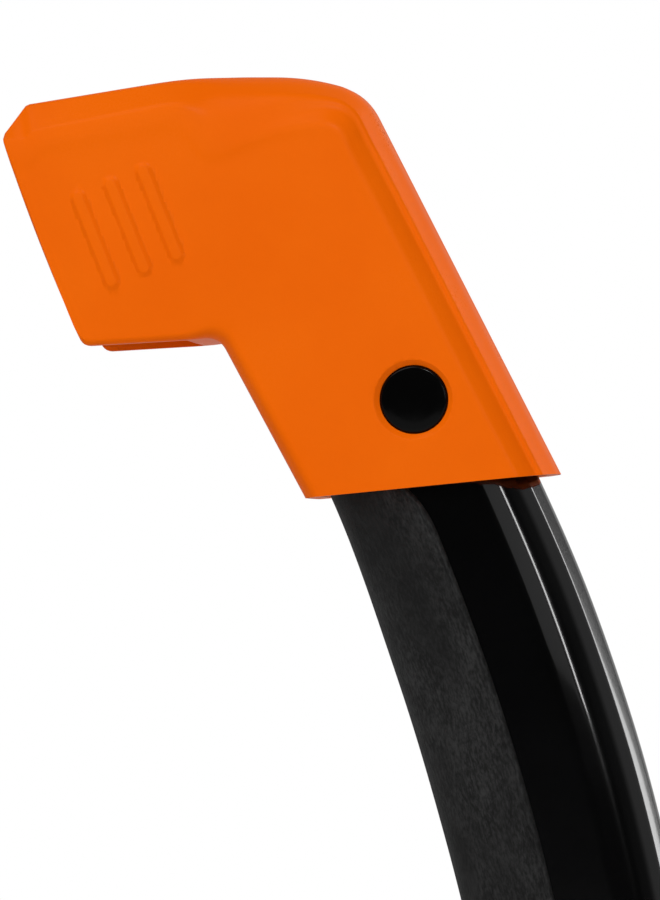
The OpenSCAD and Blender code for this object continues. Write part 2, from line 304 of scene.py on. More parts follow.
# a line of points through rounded corners, spaced evenly by its own length
class Route:

    def __init__(self, corners, lengths, count=900):
        corners = np.array(corners, float)[None]
        line = roundCorners(corners, np.array(lengths, float)[None], 40, closed=False)[0]
        gaps = np.linalg.norm(np.diff(line, axis=0), axis=1)
        line = line[np.r_[True, gaps > 1e-7]]
        travelled = pathLength(line)
        self.length = travelled[-1]
        self.steps = np.linspace(0, self.length, count)
        columns = [np.interp(self.steps, travelled, line[:, i]) for i in (0, 1)]
        self.points = np.stack(columns, axis=1)

    def at(self, distance):
        columns = [np.interp(distance, self.steps, self.points[:, i]) for i in (0, 1)]
        return np.stack(columns, axis=-1)

    def heading(self, distance, reach=0.15):
        step = self.at(distance + reach) - self.at(distance - reach)
        return step / (np.linalg.norm(step, axis=-1, keepdims=True) + 1e-12)

    def nearest(self, place):
        return self.steps[np.argmin(np.linalg.norm(self.points - np.array(place), axis=1))]


def pathLength(line):  # how far along a line of points each of them lies
    return np.r_[0, np.cumsum(np.linalg.norm(np.diff(line, axis=0), axis=1))]


def quarterRound(share):  # a quarter circle's height, 0 at its foot and 1 from share 1 on
    return np.sqrt(np.clip(1 - (1 - np.clip(share, 0, 1)) ** 2, 0, 1))


def addObject(name, mesh, slot):
    piece = bpy.data.objects.new(name, mesh)
    bpy.context.scene.collection.objects.link(piece)
    mesh.materials.append(slots[slot])
    return piece


def shade(mesh, sharpAngle=35):
    mesh.shade_smooth()
    mesh.set_sharp_from_angle(angle=math.radians(sharpAngle))


# a mesh from points in mm and faces, with its doubles merged and its faces turned outwards
def solidMesh(name, points, faces):
    mesh = bpy.data.meshes.new(name)
    mesh.from_pydata((np.asarray(points) * mm).tolist(), [], faces)
    shape = bmesh.new()
    shape.from_mesh(mesh)
    bmesh.ops.remove_doubles(shape, verts=shape.verts, dist=0.00001 * mm)
    bmesh.ops.recalc_face_normals(shape, faces=shape.faces)
    shape.to_mesh(mesh)
    shape.free()
    return mesh


# the four corners of every face between neighbouring rows of a numbered grid whose rings are closed
def ringQuads(index, nextIndex):
    corners = [index, nextIndex, np.roll(nextIndex, -1, axis=1), np.roll(index, -1, axis=1)]
    return np.stack(corners, axis=-1).reshape(-1, 4).tolist()


# a tube of quads from rows x ring x 3 points, its two ends closed by fans round their middles
def tubeMesh(name, grid, sharpAngle=35):
    rows, ring, _ = grid.shape
    index = np.arange(rows * ring).reshape(rows, ring)
    middles = np.stack([grid[0].mean(axis=0), grid[-1].mean(axis=0)])
    points = np.vstack([grid.reshape(-1, 3), middles])
    first = np.stack([np.roll(index[0], -1), index[0], np.full(ring, rows * ring)], axis=-1)
    last = np.stack([index[-1], np.roll(index[-1], -1), np.full(ring, rows * ring + 1)], axis=-1)
    faces = ringQuads(index[:-1], index[1:]) + first.tolist() + last.tolist()
    mesh = solidMesh(name, points, faces)
    shade(mesh, sharpAngle)
    return mesh


def meshPoints(mesh):  # in mm
    place = np.zeros(len(mesh.vertices) * 3, np.float32)
    mesh.vertices.foreach_get("co", place)
    return place.reshape(-1, 3).astype(float) / mm


# each vertex's place along and around a piece, given in mm, as its UV map in metres
def writeSurfaceMap(mesh, along, around):
    layer = mesh.uv_layers.new(name="surface")
    vertex = np.zeros(len(mesh.loops), np.int32)
    mesh.loops.foreach_get("vertex_index", vertex)
    places = np.stack([along[vertex], around[vertex]], axis=1) * mm
    layer.data.foreach_set("uv", places.astype(np.float32).ravel())


# what modifiers leave of a piece, as its plain mesh
def settle(piece):
    graph = bpy.context.evaluated_depsgraph_get()
    mesh = bpy.data.meshes.new_from_object(piece.evaluated_get(graph))
    piece.modifiers.clear()
    old = piece.data
    piece.data = mesh
    bpy.data.meshes.remove(old)


# shades broad faces flat right up to the small rounds between them
def flattenFaces(piece):
    piece.modifiers.new("flats", "WEIGHTED_NORMAL").keep_sharp = True
    settle(piece)


def cutAway(piece, cutter, operation="DIFFERENCE"):
    modifier = piece.modifiers.new("cut", "BOOLEAN")
    modifier.operation = operation
    modifier.solver = "EXACT"
    modifier.object = cutter
    settle(piece)
    bpy.data.objects.remove(cutter)


# gives a piece its body, and hides the CAD node that it stands for
def standFor(piece, node, body="tool"):
    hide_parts(node)
    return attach(piece, body)


# the tool's own plan in mm, as the CAD has it, from the clip hole at the origin: an arc for the grip, a
# straight stretch, a bend near the head and the part that holds the head's tang, which leans
tool = {
    "gripRadius": 360,
    "gripAngle": 31,
    "straight": 110,
    "bendRadius": 260,
    "tilt": 20,
    "tubeEnd": 12,
    "tang": 44,
}
tilt = math.radians(tool["tilt"])
bendLength = tool["bendRadius"] * tilt
backward = np.array([math.cos(tilt), -math.sin(tilt)])
upTang = np.array([math.sin(tilt), math.cos(tilt)])
tangTop = (tool["tubeEnd"] + tool["tang"]) * upTang
bendCentre = tangTop - tool["bendRadius"] * backward
shaftX = bendCentre[0] + tool["bendRadius"]
straightTop = bendCentre[1] + tool["straight"]
gripCentre = np.array([shaftX - tool["gripRadius"], straightTop])
low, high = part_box("lock_button")
buttonAxis = np.array([(low.x + high.x) / 2, (low.z + high.z) / 2]) / mm


# the tube's middle and its backward direction at distances from the grip's arc: 0 is the top of the
# straight stretch, more is towards the pommel, less towards the head
def tubePath(distance):
    distance = np.asarray(distance, float)
    onGrip = np.clip(distance, 0, None) / tool["gripRadius"]
    onStraight = np.clip(distance, -tool["straight"], 0)
    onBend = np.clip(distance + tool["straight"], -bendLength, 0) / tool["bendRadius"]
    onTang = np.clip(distance + tool["straight"] + bendLength, None, 0)
    turn = np.where(distance > 0, onGrip, onBend)
    back = np.stack([np.cos(turn), np.sin(turn)], axis=-1)
    grip = gripCentre + tool["gripRadius"] * back
    bend = bendCentre + tool["bendRadius"] * back + onTang[..., None] * upTang
    straight = np.stack([np.full_like(distance, shaftX), straightTop + onStraight], axis=-1)
    isGrip = (distance > 0)[..., None]
    isBend = (distance < -tool["straight"])[..., None]
    return np.where(isGrip, grip, np.where(isBend, bend, straight)), back


# carries rings (rows x ring x 2: backward, sideways) along the tube's path
def alongTube(distance, rings):
    middle, back = tubePath(distance)
    flat = middle[:, None, :] + rings[..., :1] * back[:, None, :]
    return np.stack([flat[..., 0], rings[..., 1], flat[..., 1]], axis=-1)


# points' distances along an arc, from its level radius, and how far outside the arc they are
def alongArc(points, centre, radius):
    flat = points[:, [0, 2]] - centre
    return np.arctan2(flat[:, 1], flat[:, 0]) * radius, np.linalg.norm(flat, axis=1) - radius


# half an outline and its roundings, from one end of the middle line to the other, made whole
def mirrored(half, lengths):
    other = half[:, -2:0:-1] * np.array([1, -1])
    return np.concatenate([half, other], axis=1), np.concatenate([lengths, lengths[:, -2:0:-1]], axis=1)


# columns of values with their bends softened, by a mean weighted with a raised cosine
def eased(values, window=9):
    values = np.asarray(values, float)
    ends = [(window, window)] + [(0, 0)] * (values.ndim - 1)
    padded = np.pad(values, ends, mode="reflect", reflect_type="odd")
    kernel = np.hanning(2 * window + 1)
    kernel /= kernel.sum()
    return np.apply_along_axis(lambda column: np.convolve(column, kernel, "valid"), 0, padded)


tube = {
    # half the outline, backward and sideways: a round back, two long facets and a flat side
    "corners": [(16.3, 0), (16.1, 2.4), (14.7, 5.8), (13.1, 7.8), (10.7, 9.2), (7.2, 9.98),
                (-3, 10.0), (-10.2, 9.7), (-14.7, 6.6), (-16.3, 0)],
    "rounding": [2.0, 0.3, 0.5, 0.6, 1.1, 0.9, 2.0, 2.4, 2.6, 3.0],
    # how much deeper the tube is on each side of its middle, at distances along the grip
    "growth": [(0, 0), (60, 0.15), (100, 0.4), (128, 0.05), (151, -0.9), (200, -0.9)],
    "halfDepth": 16.3,
    "rows": 260,
}


# the tube's outline, moved outwards along its normals by grow
def tubeRing(grow=0.0, steps=7):
    corners = np.array(tube["corners"], float)[None]
    lengths = np.array(tube["rounding"], float)[None]
    ring = roundCorners(*mirrored(corners, lengths), steps)[0]
    ahead = np.roll(ring, -1, axis=0) - np.roll(ring, 1, axis=0)
    normal = np.stack([ahead[:, 1], -ahead[:, 0]], axis=1)
    normal /= np.linalg.norm(normal, axis=1, keepdims=True) + 1e-9
    outward = np.sign((normal * ring).sum(axis=1, keepdims=True))
    return ring + normal * outward * grow


# how many times deeper than its outline the tube is at distances along it
def tubeGrowth(distance):
    places, amounts = np.array(tube["growth"], float).T
    fine = np.linspace(places[0], places[-1], 201)
    soft = eased(np.interp(fine, places, amounts), 12)
    return (1 + np.interp(distance, fine, soft) / tube["halfDepth"])[:, None]


# the tube: one outline at every row, deeper or shallower along the grip
def makeShaft():
    top = math.radians(tool["gripAngle"]) * tool["gripRadius"]
    bottom = -tool["straight"] - bendLength - tool["tang"]
    distance = np.linspace(bottom, top, tube["rows"])
    rings = np.repeat(tubeRing()[None], len(distance), axis=0)
    rings[..., 0] *= tubeGrowth(distance)
    mesh = tubeMesh("shaftTube", alongTube(distance, rings), 50)
    return standFor(addObject("shaftTube", mesh, "black_aluminium"), "shaft")


# the rubber on the tube's front: a patch with round corners that ends at an edge line on each side
inlay = {
    "thickness": 1.0,
    "edge": -2.0,
    "bottom": 13.0,
    "top": 157.5,
    "corner": 6.0,
    # it narrows along an arc of this radius from this distance up
    "narrowsFrom": 142.5,
    "narrowing": 20.8,
    "edgeRound": 0.7,
    # the fine groove inside its edge: how far in, how deep, how wide
    "groove": (1.1, 0.28, 0.22),
    # how far its outer and inner skins lie below the tube's surface
    "sunk": (0.02, 0.35),
    "rows": 361,
    "columns": 81,
}


# a grid of (along, around): rows of points spread across the patch's width, which grows as a quarter
# circle at the bottom and shrinks along an arc at the top; the height is a quarter circle at the edges
# less a bell-shaped groove inside them
def makeInlay():
    ring = tubeRing(0, 15)
    ring = np.roll(ring, -int(np.argmin(ring[:, 0])), axis=0)
    half = ring[: len(ring) // 2]
    half = half * np.array([1, np.sign(half[len(half) // 4, 1])])
    travelled = pathLength(half)
    bottom, top, corner = inlay["bottom"], inlay["top"], inlay["corner"]
    distance = bottom + (top - bottom) * (0.5 - 0.5 * np.cos(np.linspace(0, math.pi, inlay["rows"])))
    dip = corner - np.clip(distance - bottom, 0, corner)
    climb = np.clip(distance - inlay["narrowsFrom"], 0, None)
    width = np.interp(inlay["edge"], half[:, 0], travelled) - corner + np.sqrt(corner**2 - dip**2)
    width += np.sqrt(inlay["narrowing"] ** 2 - climb**2) - inlay["narrowing"]
    share = np.sin(np.linspace(-math.pi / 2, math.pi / 2, inlay["columns"]))
    around = width[:, None] * share[None, :]
    fromEnd = np.minimum(distance - bottom, top - distance)
    margin = np.minimum(width[:, None] - np.abs(around), fromEnd[:, None])
    inset, deep, wide = inlay["groove"]
    groove = deep * np.exp(-(((margin - inset) / wide) ** 2))
    height = inlay["thickness"] * quarterRound(margin / inlay["edgeRound"]) - groove

    # the place on the half outline that lies around it, moved outwards by height
    def onTube(height):
        at = [np.interp(np.abs(around), travelled, half[:, i]) for i in (0, 1)]
        ahead = [np.interp(np.abs(around) + 0.05, travelled, half[:, i]) for i in (0, 1)]
        du, dv = ahead[0] - at[0], ahead[1] - at[1]
        size = np.hypot(du, dv) + 1e-9
        side = np.where(around < 0, -1.0, 1.0)
        return np.stack([at[0] - dv / size * height, side * (at[1] + du / size * height)], axis=-1)

    outer, inner = inlay["sunk"]
    skins = [onTube(height - outer), onTube(np.full_like(height, -inner))[:, ::-1]]
    rings = np.concatenate(skins, axis=1)
    rings[..., 0] *= tubeGrowth(distance)
    mesh = tubeMesh("gripInlay", alongTube(distance, rings), 60)
    # around the tube by the angle round its middle
    points = meshPoints(mesh)
    along, aside = alongArc(points, gripCentre, tool["gripRadius"])
    angle = np.arctan2(np.abs(points[:, 1]), -aside)
    halfAngle = np.arctan2(half[:, 1], -half[:, 0])
    writeSurfaceMap(mesh, along, np.interp(angle, halfAngle, travelled) * np.sign(points[:, 1]))
    return standFor(addObject("gripInlay", mesh, "grip_rubber"), "grip_inlay")


# the rubber sleeve near the head: closed round the tube, with grooves across it
sleeve = {
    "bottom": -187.1,
    "top": -123.6,
    "thickness": 1.2,
    # its ends: how long their rounding is, and what share of the thickness they start at
    "edgeRound": 1.0,
    "edgeHeight": 0.35,
    "gap": 0.02,
    # its grooves: from one to the next, depth, width and the length without them at each end
    "pitch": 5.0,
    "groove": 0.65,
    "width": 1.5,
    "plainEnds": 3,
    # what turns the angle round the tube into a length for its texture
    "radius": 14,
    "rows": 221,
}


# the tube's outline moved outwards, by a quarter circle at each end and less a squared cosine at every
# pitch; the inside is the tube's own outline, and the last ring joins the first
def makeSleeve():
    ends = np.array([sleeve["bottom"], sleeve["top"]])
    distance = np.linspace(*ends, sleeve["rows"])
    fromEnd = np.minimum(distance - ends[0], ends[1] - distance)
    rise = quarterRound(fromEnd / sleeve["edgeRound"])
    fromDip = (distance - ends[0]) % sleeve["pitch"] - sleeve["pitch"] / 2
    dip = np.cos(np.clip(fromDip / sleeve["width"], -0.5, 0.5) * math.pi) ** 2
    dip = dip * (fromEnd > sleeve["plainEnds"])
    least = sleeve["edgeHeight"]
    height = sleeve["thickness"] * (least + (1 - least) * rise) - sleeve["groove"] * dip
    outside = np.stack([tubeRing(amount) for amount in height])
    inside = np.stack([tubeRing(sleeve["gap"])] * 2)
    grid = np.concatenate([alongTube(distance, outside), alongTube(ends[::-1], inside)])
    rows, count, _ = grid.shape
    index = np.arange(rows * count).reshape(rows, count)
    mesh = solidMesh("upperSleeve", grid.reshape(-1, 3), ringQuads(index, np.roll(index, -1, axis=0)))
    shade(mesh, 50)
    points = meshPoints(mesh)
    along, aside = alongArc(points, bendCentre, tool["bendRadius"])
    writeSurfaceMap(mesh, along, np.abs(np.arctan2(points[:, 1], aside)) * sleeve["radius"])
    return standFor(addObject("upperSleeve", mesh, "grip_rubber"), "upper_grip")


# the pommel, from the button's axis: its outer edge runs from the arm's end over the top and down the
# back to the rim, its inner edge from under the arm round the crook to the rim
pommel = {
    "outer": [(-65.8, 42.0), (-62.3, 47.3), (-34, 51.75), (-18, 51.7), (-8.7, 49.4), (22.4, -11.6)],
    "outerRounding": [0, 0.5, 12, 7, 4.4, 0],
    "inner": [(-53.7, 11.0), (-52.6, 8.6), (-31.1, 9.7), (-17.5, -15.5)],
    "innerRounding": [0, 1.2, 2.0, 0],
    # matching places on the two edges
    "ties": [
        ((-65.8, 42.0), (-53.7, 11.0)), ((-62.3, 47.3), (-51.0, 8.7)),
        ((-45, 50.1), (-41.5, 9.2)), ((-38.5, 51.0), (-37.4, 9.3)),
        ((-35.6, 51.3), (-36, 9.4)), ((-33.4, 51.5), (-34.8, 9.5)),
        ((-29.5, 51.6), (-33.2, 9.6)), ((-18, 51.6), (-31.2, 9.5)),
        ((-8.0, 48.0), (-30.4, 8.3)), ((1.3, 29.7), (-28.6, 5.1)),
        ((13.3, 6.2), (-23.5, -4.5)), ((22.4, -11.6), (-17.5, -15.5)),
    ],
    # how far the arm's end bulges, and how fast that dies away along the arm
    "endBulge": 0.35,
    "bulgeReach": 9,
    "halfWidth": 13.5,
    "crown": 0.25,
    "rows": 190,
    # rings that close the arm's end: how far in from its edge, how far out
    "endRings": [(11.5, 0.35), (9, 0.3), (5.5, 0.2), (3, 0.1), (1.2, 0), (0.55, -0.02), (0.2, -0.14)],
    # rings of the rim's rounded lip: how far in, how far up from its lowest place
    "lipRings": [(0.12, 0.23), (0.4, 0.05), (0.8, 0), (1.7, 0), (2.0, 0.1), (2.15, 0.4)],
    # the side walls are thicker than the front and back ones, from this far in
    "sideWall": (1.6, 1.6),
    # rings of the socket's inside: how far in, how far up along its lean in degrees
    "socketRings": [(2.25, 2), (2.3, 8), (2.35, 14)],
    "socketSide": 0.9,
    "socketLean": 26,
    # the half outline of a section at each tie: distance in from the outer edge, half width, rounding
    "outerCorners": [
        # top or back     shoulder            groove's floor      groove's lip
        [(0, 11.6, 0.5), (0.4, 13.0, 0.3), (1.6, 13.25, 0.4), (3.2, 13.4, 1.0)],
        [(0, 9.4, 0.7), (4.7, 13.1, 0.3), (5.8, 13.3, 0.4), (7.2, 13.45, 1.0)],
        [(0, 9.2, 0.9), (4.2, 13.1, 0.6), (5.4, 13.3, 0.4), (7.0, 13.45, 1.0)],
        [(0, 9.0, 1.2), (3.9, 13.1, 0.7), (5.0, 13.3, 0.4), (6.6, 13.45, 1.0)],
        [(0, 8.9, 1.6), (4.4, 13.0, 1.2), (6.2, 13.33, 1.0), (8.6, 13.47, 1.4)],
        [(0, 8.6, 2.4), (4.8, 12.6, 3.0), (8.8, 13.35, 3.0), (12.6, 13.49, 3.0)],
        [(0.1, 8.2, 3.2), (4.4, 12.2, 3.0), (8.8, 13.3, 3.0), (12.5, 13.49, 3.0)],
        [(0.2, 7.8, 3.4), (3.6, 11.9, 2.6), (6.2, 12.5, 2.0), (9.0, 13.45, 2.6)],
        [(0.3, 7.0, 3.0), (2.3, 11.0, 1.2), (3.2, 11.2, 0.7), (6.0, 13.38, 2.2)],
        [(0.4, 6.6, 3.0), (2.2, 10.9, 0.9), (3.0, 10.7, 0.5), (5.7, 13.38, 2.0)],
        [(0.4, 6.6, 3.0), (2.2, 10.9, 0.9), (3.0, 10.7, 0.5), (5.7, 13.38, 2.0)],
        [(0.4, 6.6, 3.0), (2.2, 10.9, 0.9), (3.0, 10.7, 0.5), (5.5, 13.38, 2.0)],
    ],
    # the same from the inner edge
    "innerCorners": [
        [(0.7, 13.3, 0.4), (0, 12.6, 0.5)],
        [(0.7, 13.3, 0.4), (0, 12.6, 0.5)],
        [(0.7, 13.3, 0.4), (0.05, 12.6, 0.5)],
        [(0.8, 13.3, 0.4), (0.05, 12.5, 0.5)],
        [(0.9, 13.3, 0.5), (0.1, 12.4, 0.6)],
        [(1.0, 13.25, 0.6), (0.1, 12.2, 0.8)],
        [(1.3, 13.2, 0.9), (0.2, 11.6, 1.0)],
        [(1.5, 13.1, 1.1), (0.1, 11.0, 1.5)],
        [(1.7, 13.1, 1.2), (0, 10.7, 1.8)],
        [(1.7, 13.1, 1.2), (0, 10.7, 1.8)],
        [(1.7, 13.1, 1.2), (0, 10.7, 1.8)],
        [(1.7, 13.1, 1.2), (0, 10.7, 1.8)],
    ],
}


# sections across the pommel: each is a line from a place on the outer edge to one on the inner edge,
# with the corners' half widths near its ends and a flank between them that swells by a parabola; where
# a section lies aslant to an edge, its corners move further in, so a bevel keeps its width
def pommelSections():
    outer = Route(pommel["outer"], pommel["outerRounding"])
    inner = Route(pommel["inner"], pommel["innerRounding"])
    outerTies = [outer.nearest(pair[0]) for pair in pommel["ties"]]
    innerTies = [inner.nearest(pair[1]) for pair in pommel["ties"]]
    outerAt = np.linspace(0, outer.length, pommel["rows"])
    innerAt = np.clip(eased(np.interp(outerAt, outerTies, innerTies)), 0, inner.length)
    top, bottom = outer.at(outerAt), inner.at(innerAt)
    across = bottom - top
    depth = np.linalg.norm(across, axis=1)
    across /= depth[:, None]
    heading = eased(outer.heading(outerAt), 4)
    inwards = np.stack([heading[:, 1], -heading[:, 0]], axis=1)
    slant = 1 / np.clip(np.abs((inwards * across).sum(axis=1)), 0.5, 1)
    headingIn = inner.heading(innerAt)
    crossing = headingIn[:, 0] * across[:, 1] - headingIn[:, 1] * across[:, 0]
    slantIn = 1 / np.clip(np.abs(crossing), 0.6, 1)

    def readTable(name, column):  # one column of every corner, at every section
        values = np.array(pommel[name], float)[:, :, column].T
        return eased(np.stack([np.interp(outerAt, outerTies, corner) for corner in values], axis=1), 5)

    outerIn, outerWidth, outerRound = (readTable("outerCorners", column) for column in range(3))
    innerIn, innerWidth, innerRound = (readTable("innerCorners", column) for column in range(3))
    outerIn = np.clip(outerIn, 0, None) * slant[:, None]
    innerIn = depth[:, None] - np.clip(innerIn, 0, None) * slantIn[:, None]
    share = np.linspace(0.06, 0.94, 9)[None]  # of the way across the flank
    flankIn = outerIn[:, -1:] + (innerIn[:, :1] - outerIn[:, -1:]) * share
    flankWidth = pommel["halfWidth"] - pommel["crown"] * (2 * share - 1) ** 2 + 0 * flankIn
    zero = np.zeros((len(depth), 1))
    along = np.concatenate([zero, outerIn, flankIn, innerIn, depth[:, None]], axis=1)
    aside = np.concatenate([zero, outerWidth, flankWidth, innerWidth, zero], axis=1)
    lengths = [zero + 0.5, outerRound, 0 * flankIn + 1.0, innerRound, zero + 0.5]
    half = np.stack([along, aside], axis=-1)
    rings = roundCorners(*mirrored(half, np.concatenate(lengths, axis=1)), 6)
    share = rings[..., 0] / depth[:, None]
    fade = np.exp(-((outerAt / pommel["bulgeReach"]) ** 2))[:, None]
    bulge = pommel["endBulge"] * 4 * share * (1 - share) * fade
    return top, across, depth, bulge, rings


# a ring drawn in from its own edge by some amount, and by more sideways
def drawnIn(ring, depth, amount, sideways=0.0):
    middle = depth / 2
    shrink = np.array([(middle - amount) / middle, 1 - (amount + sideways) / pommel["halfWidth"]])
    return (ring - np.array([middle, 0])) * shrink + np.array([middle, 0])


# a section's ring in space: down its line, sideways, and bulging square to the line
def placeRing(top, across, ring, bulge=0.0):
    outward = np.array([-across[1], across[0]]) * np.sign(across[1])
    flat = top + ring[:, :1] * across + np.reshape(bulge, (-1, 1)) * outward
    return np.stack([flat[:, 0] + buttonAxis[0], ring[:, 1], flat[:, 1] + buttonAxis[1]], axis=-1)


# the pommel's rings, from the middle of the arm's end along the sections to the rim, and then up
# inside the socket; the end's and the rim's rings are sections drawn in and moved
def pommelGrid():
    top, across, depth, bulge, rings = pommelSections()
    rows = []
    # the arm's end: a rounded edge and a slightly bulging face
    endNormal = np.array([across[0][1], -across[0][0]])
    endNormal *= np.sign(-endNormal[0])
    for inset, out in pommel["endRings"]:
        ring = drawnIn(rings[0], depth[0], inset)
        rows.append(placeRing(top[0] + endNormal * out, across[0], ring, bulge[0]))
    for i in range(1, len(depth)):
        rows.append(placeRing(top[i], across[i], rings[i], bulge[i]))
    # the rim's lip, then the socket's inside
    up = np.array([across[-1][1], -across[-1][0]])
    up *= np.sign(up[1])
    thickFrom, thicker = pommel["sideWall"]
    for inset, rise in pommel["lipRings"]:
        ring = drawnIn(rings[-1], depth[-1], inset, max(0, inset - thickFrom) * thicker)
        rows.append(placeRing(top[-1] + up * rise, across[-1], ring))
    lean = math.radians(pommel["socketLean"])
    axis = np.array([-math.sin(lean), math.cos(lean)])
    for inset, rise in pommel["socketRings"]:
        ring = drawnIn(rings[-1], depth[-1], inset, pommel["socketSide"])
        rows.append(placeRing(top[-1] + axis * rise, across[-1], ring))
    return np.stack(rows)


# circles round the button's axis, radius x cos and radius x sin, one for each pair of radius and Y
def turned(rows, count=96):
    angle = np.linspace(0, 2 * math.pi, count, endpoint=False)
    rows = np.array(rows, float)
    grid = np.zeros((len(rows), count, 3))
    grid[..., 0] = buttonAxis[0] + rows[:, :1] * np.cos(angle)
    grid[..., 1] = rows[:, 1:]
    grid[..., 2] = buttonAxis[1] + rows[:, :1] * np.sin(angle)
    return grid


button = {
    "radius": 5.35,
    "edge": 0.55,
    "face": -13.4,
    "dome": 0.32,
    "shoulder": -8.8,
    # the flange behind the pommel's wall: radius and Y
    "flange": [(6.6, -8.0), (6.7, -7.9), (6.7, -7.1), (6.5, -7.0)],
    "travel": 3.4,
    # the hole in the pommel's wall and the cone that widens it
    "hole": 5.43,
    "holeEnd": -6.5,
    "rim": 6.35,
    "sinkDepth": 0.75,
    "wallFace": -13.5,
}


# a hole that widens by a cone to the wall's face
def countersink():
    hole, width, depth = button["hole"], button["rim"] - button["hole"], button["sinkDepth"]
    foot = button["wallFace"] + depth
    shares = 1 - np.sin(np.radians(np.linspace(90, 0, 9)))
    cone = [(hole + width * share, foot - depth * share) for share in shares]
    rows = [(hole, button["holeEnd"]), (hole, foot + 0.55)] + cone
    rows.append((button["rim"] + 0.2, button["wallFace"] - 1))
    return addObject("countersink", tubeMesh("countersink", turned(rows)), "orange_plastic")


# the hollow under the arm: its outline from the button's axis, and how much narrower it is at each Y
hollow = {
    "outline": [(-50.8, 2), (-35.0, 2), (-35.8, 9), (-41.5, 20), (-41.0, 41.0), (-60.4, 41.4),
                (-57.0, 22)],
    "rounding": [0, 0, 2.5, 4, 3, 3, 8.0],
    "rows": [(0.94, -11.0), (0.98, -10.7), (1, -10.0), (1, 10.0), (0.98, 10.7), (0.94, 11.0)],
}


# the outline at each Y, its width drawn in towards its middle
def armHollow():
    corners = np.array(hollow["outline"], float)[None]
    lengths = np.array(hollow["rounding"], float)[None]
    ring = roundCorners(corners, lengths, 7)[0] + buttonAxis
    middle = ring.mean(axis=0)
    rows = []
    for shrink, y in hollow["rows"]:
        flat = middle + (ring - middle) * np.array([shrink, 1.0])
        rows.append(np.stack([flat[:, 0], np.full(len(ring), y), flat[:, 1]], axis=-1))
    return addObject("armHollow", tubeMesh("armHollow", np.stack(rows)), "orange_plastic")


ribs = {
    "count": 3,
    "middle": (-45.4, 27.5),
    "pitch": 5.6,
    "length": 17,
    "width": 2.6,
    "lean": 68,
    "rise": 0.4,
    "foot": 12.0,
    # its sloping edge: share of the width, how far below the top
    "edge": [(1.12, 0.55), (0.64, 0.06), (0.52, 0), (0.3, 0)],
}


# slanted raised ribs on one side of the arm: each ring is a circle whose halves are moved apart along
# the rib, and the rings shrink towards its top
def sideRibs(side):
    lean = math.radians(ribs["lean"])
    along = np.array([-math.cos(lean), math.sin(lean)])
    aside = np.array([along[1], -along[0]])
    turn = np.radians(np.linspace(0, 360, 48, endpoint=False))
    cos, sin = np.cos(turn)[:, None], np.sin(turn)[:, None]
    lift = np.where(sin >= 0, 1.0, -1.0) * (ribs["length"] - ribs["width"]) / 2
    face = pommel["halfWidth"] + ribs["rise"]
    levels = [(ribs["edge"][0][0], ribs["foot"])]
    levels += [(share, face - below) for share, below in ribs["edge"]]
    pieces = []
    for k in range(ribs["count"]):
        offset = (k - (ribs["count"] - 1) / 2) * ribs["pitch"]
        middle = buttonAxis + np.array(ribs["middle"]) + aside * offset
        rows = []
        for share, y in levels:
            radius = share * ribs["width"] / 2
            flat = middle + radius * cos * aside + (radius * sin + lift) * along
            rows.append(np.stack([flat[:, 0], np.full(len(turn), side * y), flat[:, 1]], axis=-1))
        pieces.append(addObject("rib", tubeMesh("rib", np.stack(rows)), "orange_plastic"))
    return pieces


def makePommel():
    piece = addObject("pommelShell", tubeMesh("pommelShell", pommelGrid()), "orange_plastic")
    cutAway(piece, countersink())
    cutAway(piece, armHollow())
    for rib in sideRibs(-1) + sideRibs(1):
        cutAway(piece, rib, "UNION")
    shade(piece.data, 40)
    flattenFaces(piece)
    return standFor(piece, "pommel")


# the button: a face domed by a parabola, a quarter circle at its edge, a wall and a flange
def makeButton():
    radius, edge = button["radius"], button["edge"]
    foot = button["face"] + button["dome"]
    turn = np.radians(np.linspace(0, 90, 7))
    rows = [(r, button["face"] + button["dome"] * (r / radius) ** 2) for r in (0.5, 1.5, 2.5, 3.5, 4.3)]
    rows += [(radius - edge + edge * math.sin(a), foot + edge * (1 - math.cos(a))) for a in turn]
    rows += [(radius, button["shoulder"]), (radius, button["flange"][0][1])] + button["flange"]
    piece = addObject("buttonCap", tubeMesh("buttonCap", turned(rows)), "gloss_plastic")
    return standFor(piece, "lock_button", "button")


makePommel()
makeButton()
makeShaft()
makeInlay()
makeSleeve()
print("pommel, button, shaft, inlay and sleeve made")


# a merged copy of a CAD piece, its flats made whole and its edges broken by a small round
def brokenEdges(name, node, width, body="tool"):
    mesh = frame["nodes"][node].data.copy()
    shape = bmesh.new()
    shape.from_mesh(mesh)
    bmesh.ops.remove_doubles(shape, verts=shape.verts, dist=0.002 * mm)
    bmesh.ops.dissolve_limit(shape, angle_limit=math.radians(0.6), verts=shape.verts, edges=shape.edges)
    bmesh.ops.recalc_face_normals(shape, faces=shape.faces)
    shape.to_mesh(mesh)
    shape.free()
    mesh.materials.clear()
    piece = addObject(name, mesh, nodeSlot[node])
    if width:
        bevel = piece.modifiers.new("edges", "BEVEL")
        bevel.width = width * mm
        bevel.segments = 3
        bevel.limit_method = "ANGLE"
        bevel.angle_limit = math.radians(32)
        bevel.use_clamp_overlap = True
        settle(piece)
    shade(piece.data, 32)
    flattenFaces(piece)
    return standFor(piece, node, body)


